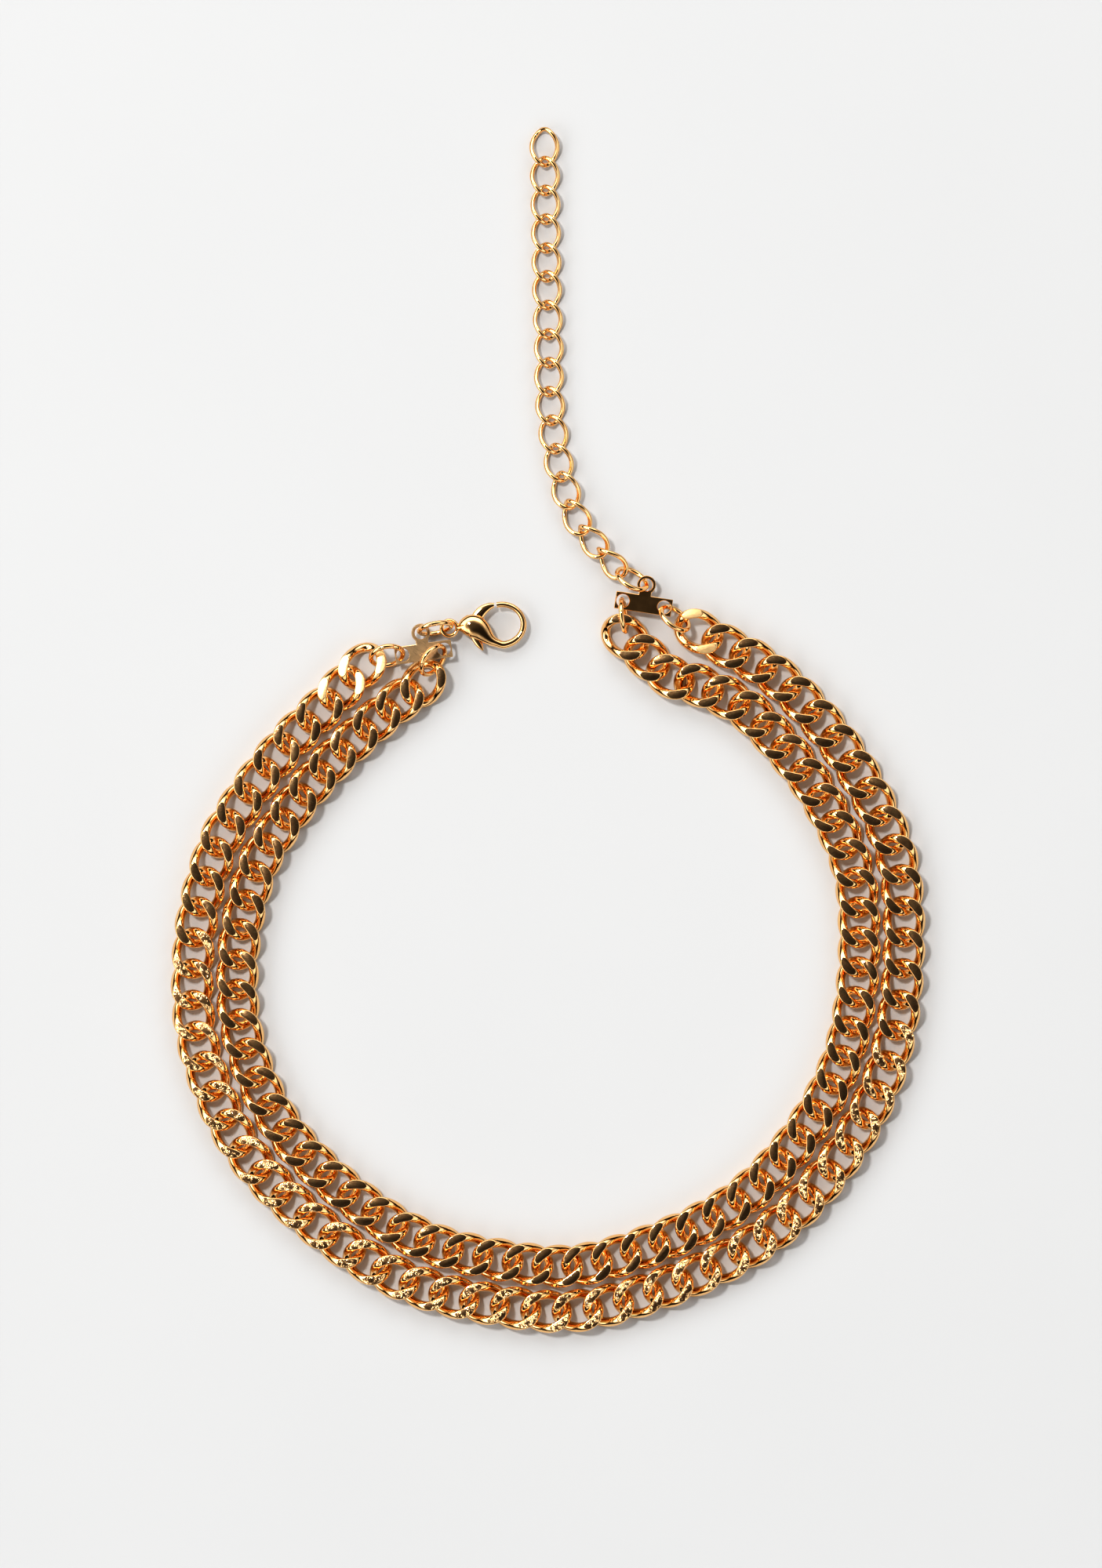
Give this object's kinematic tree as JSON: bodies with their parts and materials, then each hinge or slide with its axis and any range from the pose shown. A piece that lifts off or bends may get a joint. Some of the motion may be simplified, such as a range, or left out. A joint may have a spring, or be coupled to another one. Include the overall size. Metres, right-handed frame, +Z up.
{
  "type": "chain necklace",
  "caption": "Choker of two flat curb chains side by side, joined by jump rings to small end plates, with a lobster clasp and a fine extender chain.",
  "frame": {"origin": "under the middle of the whole box, on the surface that the necklace lies on", "axes": "+Z up from the surface; +Y from the front of the loop towards the extender; +X to the right seen from above with the extender away from the viewer"},
  "size_m": [0.1214, 0.1942, 0.0059],
  "materials": {
    "clasp_body": "polished gold plate",
    "clasp_lever": "polished gold plate",
    "clasp_pin": "plain steel",
    "clasp_ring": "polished gold plate",
    "clasp_spring": "plain steel",
    "ext_link_01": "polished gold plate",
    "ext_link_02": "polished gold plate",
    "ext_link_03": "polished gold plate",
    "ext_link_04": "polished gold plate",
    "ext_link_05": "polished gold plate",
    "ext_link_06": "polished gold plate",
    "ext_link_07": "polished gold plate",
    "ext_link_08": "polished gold plate",
    "ext_link_09": "polished gold plate",
    "ext_link_10": "polished gold plate",
    "ext_link_11": "polished gold plate",
    "ext_link_12": "polished gold plate",
    "ext_link_13": "polished gold plate",
    "ext_link_14": "polished gold plate",
    "ext_link_15": "polished gold plate",
    "ext_link_16": "polished gold plate",
    "ext_ring": "polished gold plate",
    "inner_links_01": "polished gold plate",
    "inner_links_02": "polished gold plate",
    "inner_links_03": "polished gold plate",
    "inner_links_04": "polished gold plate",
    "inner_links_05": "polished gold plate",
    "inner_links_06": "polished gold plate",
    "inner_links_07": "polished gold plate",
    "inner_links_08": "polished gold plate",
    "inner_links_09": "polished gold plate",
    "inner_links_10": "polished gold plate",
    "inner_links_11": "polished gold plate",
    "inner_links_12": "polished gold plate",
    "inner_links_13": "polished gold plate",
    "inner_links_14": "polished gold plate",
    "inner_links_15": "polished gold plate",
    "left_bar": "polished gold plate",
    "left_inner_ring": "polished gold plate",
    "left_outer_ring": "polished gold plate",
    "outer_links_01": "polished gold plate",
    "outer_links_02": "polished gold plate",
    "outer_links_03": "polished gold plate",
    "outer_links_04": "polished gold plate",
    "outer_links_05": "polished gold plate",
    "outer_links_06": "polished gold plate",
    "outer_links_07": "polished gold plate",
    "outer_links_08": "polished gold plate",
    "outer_links_09": "polished gold plate",
    "outer_links_10": "polished gold plate",
    "outer_links_11": "polished gold plate",
    "outer_links_12": "polished gold plate",
    "outer_links_13": "polished gold plate",
    "outer_links_14": "polished gold plate",
    "outer_links_15": "polished gold plate",
    "right_bar": "polished gold plate",
    "right_inner_ring": "polished gold plate",
    "right_outer_ring": "polished gold plate"
  },
  "bodies": {
    "clasp_body": {"clasp_body": "clasp_body", "clasp_pin": "clasp_pin", "clasp_spring": "clasp_spring"},
    "clasp_lever": {"clasp_lever": "clasp_lever"},
    "clasp_ring": {"clasp_ring": "clasp_ring"},
    "ext_link_01": {"ext_link_01": "ext_link_01"},
    "ext_link_02": {"ext_link_02": "ext_link_02"},
    "ext_link_03": {"ext_link_03": "ext_link_03"},
    "ext_link_04": {"ext_link_04": "ext_link_04"},
    "ext_link_05": {"ext_link_05": "ext_link_05"},
    "ext_link_06": {"ext_link_06": "ext_link_06"},
    "ext_link_07": {"ext_link_07": "ext_link_07"},
    "ext_link_08": {"ext_link_08": "ext_link_08"},
    "ext_link_09": {"ext_link_09": "ext_link_09"},
    "ext_link_10": {"ext_link_10": "ext_link_10"},
    "ext_link_11": {"ext_link_11": "ext_link_11"},
    "ext_link_12": {"ext_link_12": "ext_link_12"},
    "ext_link_13": {"ext_link_13": "ext_link_13"},
    "ext_link_14": {"ext_link_14": "ext_link_14"},
    "ext_link_15": {"ext_link_15": "ext_link_15"},
    "ext_link_16": {"ext_link_16": "ext_link_16"},
    "ext_ring": {"ext_ring": "ext_ring"},
    "inner_links_01": {"inner_links_01": "inner_links_01"},
    "inner_links_02": {"inner_links_02": "inner_links_02"},
    "inner_links_03": {"inner_links_03": "inner_links_03"},
    "inner_links_04": {"inner_links_04": "inner_links_04"},
    "inner_links_05": {"inner_links_05": "inner_links_05"},
    "inner_links_06": {"inner_links_06": "inner_links_06"},
    "inner_links_07": {"inner_links_07": "inner_links_07"},
    "inner_links_08": {"inner_links_08": "inner_links_08"},
    "inner_links_09": {"inner_links_09": "inner_links_09"},
    "inner_links_10": {"inner_links_10": "inner_links_10"},
    "inner_links_11": {"inner_links_11": "inner_links_11"},
    "inner_links_12": {"inner_links_12": "inner_links_12"},
    "inner_links_13": {"inner_links_13": "inner_links_13"},
    "inner_links_14": {"inner_links_14": "inner_links_14"},
    "inner_links_15": {"inner_links_15": "inner_links_15"},
    "left_bar": {"left_bar": "left_bar"},
    "left_inner_ring": {"left_inner_ring": "left_inner_ring"},
    "left_outer_ring": {"left_outer_ring": "left_outer_ring"},
    "outer_links_01": {"outer_links_01": "outer_links_01"},
    "outer_links_02": {"outer_links_02": "outer_links_02"},
    "outer_links_03": {"outer_links_03": "outer_links_03"},
    "outer_links_04": {"outer_links_04": "outer_links_04"},
    "outer_links_05": {"outer_links_05": "outer_links_05"},
    "outer_links_06": {"outer_links_06": "outer_links_06"},
    "outer_links_07": {"outer_links_07": "outer_links_07"},
    "outer_links_08": {"outer_links_08": "outer_links_08"},
    "outer_links_09": {"outer_links_09": "outer_links_09"},
    "outer_links_10": {"outer_links_10": "outer_links_10"},
    "outer_links_11": {"outer_links_11": "outer_links_11"},
    "outer_links_12": {"outer_links_12": "outer_links_12"},
    "outer_links_13": {"outer_links_13": "outer_links_13"},
    "outer_links_14": {"outer_links_14": "outer_links_14"},
    "outer_links_15": {"outer_links_15": "outer_links_15"},
    "right_bar": {"right_bar": "right_bar"},
    "right_inner_ring": {"right_inner_ring": "right_inner_ring"},
    "right_outer_ring": {"right_outer_ring": "right_outer_ring"}
  },
  "joints": [
    {"name": "right_outer_ring_swing", "type": "hinge", "parent": "right_bar", "child": "right_outer_ring", "pos_m": [0.01861, 0.01973, 0.002], "axis": [0.9877, -0.1564, 0], "range_deg": [-20, 25]},
    {"name": "right_inner_ring_swing", "type": "hinge", "parent": "right_bar", "child": "right_inner_ring", "pos_m": [0.012, 0.02078, 0.002], "axis": [0.9877, -0.1564, 0], "range_deg": [-20, 25]},
    {"name": "outer_links_01_swing", "type": "hinge", "parent": "right_outer_ring", "child": "outer_links_01", "pos_m": [0.02034, 0.01791, 0.00155], "axis": [0.9984, -0.0569, 0], "range_deg": [-20, 20]},
    {"name": "inner_links_01_swing", "type": "hinge", "parent": "right_inner_ring", "child": "inner_links_01", "pos_m": [0.01211, 0.01838, 0.00155], "axis": [0.9984, -0.0569, 0], "range_deg": [-20, 20]},
    {"name": "outer_links_02_swing", "type": "hinge", "parent": "outer_links_01", "child": "outer_links_02", "pos_m": [0.03893, 0.00655, 0.00155], "axis": [-0.6203, -0.7843, 0], "range_deg": [-18, 18]},
    {"name": "inner_links_02_swing", "type": "hinge", "parent": "inner_links_01", "child": "inner_links_02", "pos_m": [0.0344, 0.00082, 0.00155], "axis": [-0.6203, -0.7843, 0], "range_deg": [-18, 18]},
    {"name": "outer_links_03_swing", "type": "hinge", "parent": "outer_links_02", "child": "outer_links_03", "pos_m": [0.05118, -0.00931, 0.00155], "axis": [0.7099, 0.7043, 0], "range_deg": [-18, 18]},
    {"name": "inner_links_03_swing", "type": "hinge", "parent": "inner_links_02", "child": "inner_links_03", "pos_m": [0.04579, -0.01466, 0.00155], "axis": [0.7099, 0.7043, 0], "range_deg": [-18, 18]},
    {"name": "outer_links_04_swing", "type": "hinge", "parent": "outer_links_03", "child": "outer_links_04", "pos_m": [0.05704, -0.02828, 0.00155], "axis": [-0.9995, -0.0302, 0], "range_deg": [-18, 18]},
    {"name": "inner_links_04_swing", "type": "hinge", "parent": "inner_links_03", "child": "inner_links_04", "pos_m": [0.04982, -0.0285, 0.00155], "axis": [-0.9995, -0.0302, 0], "range_deg": [-18, 18]},
    {"name": "outer_links_05_swing", "type": "hinge", "parent": "outer_links_04", "child": "outer_links_05", "pos_m": [0.05583, -0.0483, 0.00155], "axis": [0.9965, -0.0836, 0], "range_deg": [-18, 18]},
    {"name": "inner_links_05_swing", "type": "hinge", "parent": "inner_links_04", "child": "inner_links_05", "pos_m": [0.04859, -0.04769, 0.00155], "axis": [0.9965, -0.0836, 0], "range_deg": [-18, 18]},
    {"name": "outer_links_06_swing", "type": "hinge", "parent": "outer_links_05", "child": "outer_links_06", "pos_m": [0.04829, -0.06674, 0.00155], "axis": [-0.6643, 0.7475, 0], "range_deg": [-18, 18]},
    {"name": "inner_links_06_swing", "type": "hinge", "parent": "inner_links_05", "child": "inner_links_06", "pos_m": [0.04328, -0.06109, 0.00155], "axis": [-0.6643, 0.7475, 0], "range_deg": [-18, 18]},
    {"name": "outer_links_07_swing", "type": "hinge", "parent": "outer_links_06", "child": "outer_links_07", "pos_m": [0.03478, -0.08145, 0.00155], "axis": [0.5783, -0.8158, 0], "range_deg": [-18, 18]},
    {"name": "inner_links_07_swing", "type": "hinge", "parent": "inner_links_06", "child": "inner_links_07", "pos_m": [0.03058, -0.07553, 0.00155], "axis": [0.5783, -0.8158, 0], "range_deg": [-18, 18]},
    {"name": "outer_links_08_swing", "type": "hinge", "parent": "outer_links_07", "child": "outer_links_08", "pos_m": [0.01687, -0.09029, 0.00155], "axis": [-0.4902, 0.8716, 0], "range_deg": [-18, 18]},
    {"name": "inner_links_08_swing", "type": "hinge", "parent": "inner_links_07", "child": "inner_links_08", "pos_m": [0.01328, -0.0839, 0.00155], "axis": [-0.4902, 0.8716, 0], "range_deg": [-18, 18]},
    {"name": "outer_links_09_swing", "type": "hinge", "parent": "outer_links_08", "child": "outer_links_09", "pos_m": [-0.00774, -0.09253, 0.00155], "axis": [-0.2782, -0.9605, 0], "range_deg": [-18, 18]},
    {"name": "inner_links_09_swing", "type": "hinge", "parent": "inner_links_08", "child": "inner_links_09", "pos_m": [-0.00571, -0.08551, 0.00155], "axis": [-0.2782, -0.9605, 0], "range_deg": [-18, 18]},
    {"name": "outer_links_10_swing", "type": "hinge", "parent": "outer_links_09", "child": "outer_links_10", "pos_m": [-0.02683, -0.08669, 0.00155], "axis": [0.3693, 0.9293, 0], "range_deg": [-18, 18]},
    {"name": "inner_links_10_swing", "type": "hinge", "parent": "inner_links_09", "child": "inner_links_10", "pos_m": [-0.02413, -0.0799, 0.00155], "axis": [0.3693, 0.9293, 0], "range_deg": [-18, 18]},
    {"name": "outer_links_11_swing", "type": "hinge", "parent": "outer_links_10", "child": "outer_links_11", "pos_m": [-0.04282, -0.07458, 0.00155], "axis": [-0.9102, -0.4142, 0], "range_deg": [-18, 18]},
    {"name": "inner_links_11_swing", "type": "hinge", "parent": "inner_links_10", "child": "inner_links_11", "pos_m": [-0.03575, -0.07137, 0.00155], "axis": [-0.9102, -0.4142, 0], "range_deg": [-18, 18]},
    {"name": "outer_links_12_swing", "type": "hinge", "parent": "outer_links_11", "child": "outer_links_12", "pos_m": [-0.05382, -0.058, 0.00155], "axis": [0.9515, 0.3076, 0], "range_deg": [-18, 18]},
    {"name": "inner_links_12_swing", "type": "hinge", "parent": "inner_links_11", "child": "inner_links_12", "pos_m": [-0.0469, -0.05576, 0.00155], "axis": [0.9515, 0.3076, 0], "range_deg": [-18, 18]},
    {"name": "outer_links_13_swing", "type": "hinge", "parent": "outer_links_12", "child": "outer_links_13", "pos_m": [-0.05712, -0.03838, 0.00155], "axis": [-0.9793, -0.2024, 0], "range_deg": [-18, 18]},
    {"name": "inner_links_13_swing", "type": "hinge", "parent": "inner_links_12", "child": "inner_links_13", "pos_m": [-0.04981, -0.03687, 0.00155], "axis": [-0.9793, -0.2024, 0], "range_deg": [-18, 18]},
    {"name": "outer_links_14_swing", "type": "hinge", "parent": "outer_links_13", "child": "outer_links_14", "pos_m": [-0.05314, -0.01886, 0.00155], "axis": [0.851, -0.5252, 0], "range_deg": [-18, 18]},
    {"name": "inner_links_14_swing", "type": "hinge", "parent": "inner_links_13", "child": "inner_links_14", "pos_m": [-0.04688, -0.02273, 0.00155], "axis": [0.851, -0.5252, 0], "range_deg": [-18, 18]},
    {"name": "outer_links_15_swing", "type": "hinge", "parent": "outer_links_14", "child": "outer_links_15", "pos_m": [-0.04196, -0.00228, 0.00155], "axis": [-0.7895, 0.6137, 0], "range_deg": [-18, 18]},
    {"name": "inner_links_15_swing", "type": "hinge", "parent": "inner_links_14", "child": "inner_links_15", "pos_m": [-0.03624, -0.00672, 0.00155], "axis": [-0.7895, 0.6137, 0], "range_deg": [-18, 18]},
    {"name": "left_outer_ring_swing", "type": "hinge", "parent": "outer_links_15", "child": "left_outer_ring", "pos_m": [-0.0259, 0.0119, 0.00155], "axis": [-0.9955, 0.0947, 0], "range_deg": [-35, 15]},
    {"name": "left_inner_ring_swing", "type": "hinge", "parent": "inner_links_15", "child": "left_inner_ring", "pos_m": [-0.01849, 0.0112, 0.00155], "axis": [-0.9955, 0.0947, 0], "range_deg": [-35, 15]},
    {"name": "left_bar_swing", "type": "hinge", "parent": "left_outer_ring", "child": "left_bar", "pos_m": [-0.02336, 0.01206, 0.002], "axis": [0.9903, 0.1392, 0], "range_deg": [-35, 12]},
    {"name": "ext_ring_swing", "type": "hinge", "parent": "right_bar", "child": "ext_ring", "pos_m": [0.01579, 0.02332, 0.002], "axis": [0.9877, -0.1564, 0], "range_deg": [-35, 15]},
    {"name": "ext_link_01_swing", "type": "hinge", "parent": "ext_ring", "child": "ext_link_01", "pos_m": [0.01146, 0.0258, 0.00203], "axis": [-0.7343, -0.6789, 0], "range_deg": [-25, 30]},
    {"name": "ext_link_02_swing", "type": "hinge", "parent": "ext_link_01", "child": "ext_link_02", "pos_m": [0.00857, 0.0287, 0.00185], "axis": [0, 0, 1], "range_deg": [-30, 30]},
    {"name": "ext_link_03_swing", "type": "hinge", "parent": "ext_link_02", "child": "ext_link_03", "pos_m": [0.00575, 0.03232, 0.00165], "axis": [0.8911, 0.4538, 0], "range_deg": [-30, 30]},
    {"name": "ext_link_04_swing", "type": "hinge", "parent": "ext_link_03", "child": "ext_link_04", "pos_m": [0.00362, 0.03637, 0.00143], "axis": [0, 0, 1], "range_deg": [-30, 30]},
    {"name": "ext_link_05_swing", "type": "hinge", "parent": "ext_link_04", "child": "ext_link_05", "pos_m": [0.00222, 0.04077, 0.00122], "axis": [-0.9754, -0.2205, 0], "range_deg": [-30, 30]},
    {"name": "ext_link_06_swing", "type": "hinge", "parent": "ext_link_05", "child": "ext_link_06", "pos_m": [0.00124, 0.04528, 0.00102], "axis": [0, 0, 1], "range_deg": [-30, 30]},
    {"name": "ext_link_07_swing", "type": "hinge", "parent": "ext_link_06", "child": "ext_link_07", "pos_m": [0.00057, 0.04984, 0.00102], "axis": [0.9961, 0.0881, 0], "range_deg": [-30, 30]},
    {"name": "ext_link_08_swing", "type": "hinge", "parent": "ext_link_07", "child": "ext_link_08", "pos_m": [0.00021, 0.05446, 0.00102], "axis": [0, 0, 1], "range_deg": [-30, 30]},
    {"name": "ext_link_09_swing", "type": "hinge", "parent": "ext_link_08", "child": "ext_link_09", "pos_m": [0.00011, 0.0591, 0.00102], "axis": [-0.9996, -0.0267, 0], "range_deg": [-30, 30]},
    {"name": "ext_link_10_swing", "type": "hinge", "parent": "ext_link_09", "child": "ext_link_10", "pos_m": [0.00001, 0.0637, 0.00102], "axis": [0, 0, 1], "range_deg": [-30, 30]},
    {"name": "ext_link_11_swing", "type": "hinge", "parent": "ext_link_10", "child": "ext_link_11", "pos_m": [-0.00013, 0.06837, 0.00102], "axis": [0.9998, 0.0218, 0], "range_deg": [-30, 30]},
    {"name": "ext_link_12_swing", "type": "hinge", "parent": "ext_link_11", "child": "ext_link_12", "pos_m": [-0.00024, 0.073, 0.00102], "axis": [0, 0, 1], "range_deg": [-30, 30]},
    {"name": "ext_link_13_swing", "type": "hinge", "parent": "ext_link_12", "child": "ext_link_13", "pos_m": [-0.00033, 0.07756, 0.00102], "axis": [-0.9998, -0.0178, 0], "range_deg": [-30, 30]},
    {"name": "ext_link_14_swing", "type": "hinge", "parent": "ext_link_13", "child": "ext_link_14", "pos_m": [-0.00041, 0.08221, 0.00102], "axis": [0, 0, 1], "range_deg": [-30, 30]},
    {"name": "ext_link_15_swing", "type": "hinge", "parent": "ext_link_14", "child": "ext_link_15", "pos_m": [-0.00049, 0.08683, 0.00102], "axis": [0.9999, 0.0172, 0], "range_deg": [-30, 30]},
    {"name": "ext_link_16_swing", "type": "hinge", "parent": "ext_link_15", "child": "ext_link_16", "pos_m": [-0.00057, 0.09145, 0.00102], "axis": [0, 0, 1], "range_deg": [-30, 30]},
    {"name": "clasp_ring_swing", "type": "hinge", "parent": "left_bar", "child": "clasp_ring", "pos_m": [-0.02047, 0.0156, 0.002], "axis": [-0.1392, 0.9903, 0], "range_deg": [-18, 35]},
    {"name": "clasp_body_swing", "type": "hinge", "parent": "clasp_ring", "child": "clasp_body", "pos_m": [-0.01589, 0.01637, 0.0016], "axis": [-0.0698, 0.9976, 0], "range_deg": [-10, 35]},
    {"name": "clasp_lever_turn", "type": "hinge", "parent": "clasp_body", "child": "clasp_lever", "pos_m": [-0.01206, 0.01604, 0.0016], "axis": [0, 0, 1], "range_deg": [-22, 0], "stiffness_Nm_per_rad": 0.0008, "springref_deg": 20.05}
  ],
  "couplings": [
    {"joint": "right_inner_ring_swing", "follows": "right_outer_ring_swing", "ratio": 1},
    {"joint": "inner_links_01_swing", "follows": "outer_links_01_swing", "ratio": 1},
    {"joint": "inner_links_02_swing", "follows": "outer_links_02_swing", "ratio": 1},
    {"joint": "inner_links_03_swing", "follows": "outer_links_03_swing", "ratio": 1},
    {"joint": "inner_links_04_swing", "follows": "outer_links_04_swing", "ratio": 1},
    {"joint": "inner_links_05_swing", "follows": "outer_links_05_swing", "ratio": 1},
    {"joint": "inner_links_06_swing", "follows": "outer_links_06_swing", "ratio": 1},
    {"joint": "inner_links_07_swing", "follows": "outer_links_07_swing", "ratio": 1},
    {"joint": "inner_links_08_swing", "follows": "outer_links_08_swing", "ratio": 1},
    {"joint": "inner_links_09_swing", "follows": "outer_links_09_swing", "ratio": 1},
    {"joint": "inner_links_10_swing", "follows": "outer_links_10_swing", "ratio": 1},
    {"joint": "inner_links_11_swing", "follows": "outer_links_11_swing", "ratio": 1},
    {"joint": "inner_links_12_swing", "follows": "outer_links_12_swing", "ratio": 1},
    {"joint": "inner_links_13_swing", "follows": "outer_links_13_swing", "ratio": 1},
    {"joint": "inner_links_14_swing", "follows": "outer_links_14_swing", "ratio": 1},
    {"joint": "inner_links_15_swing", "follows": "outer_links_15_swing", "ratio": 1},
    {"joint": "left_inner_ring_swing", "follows": "left_outer_ring_swing", "ratio": 1}
  ]
}
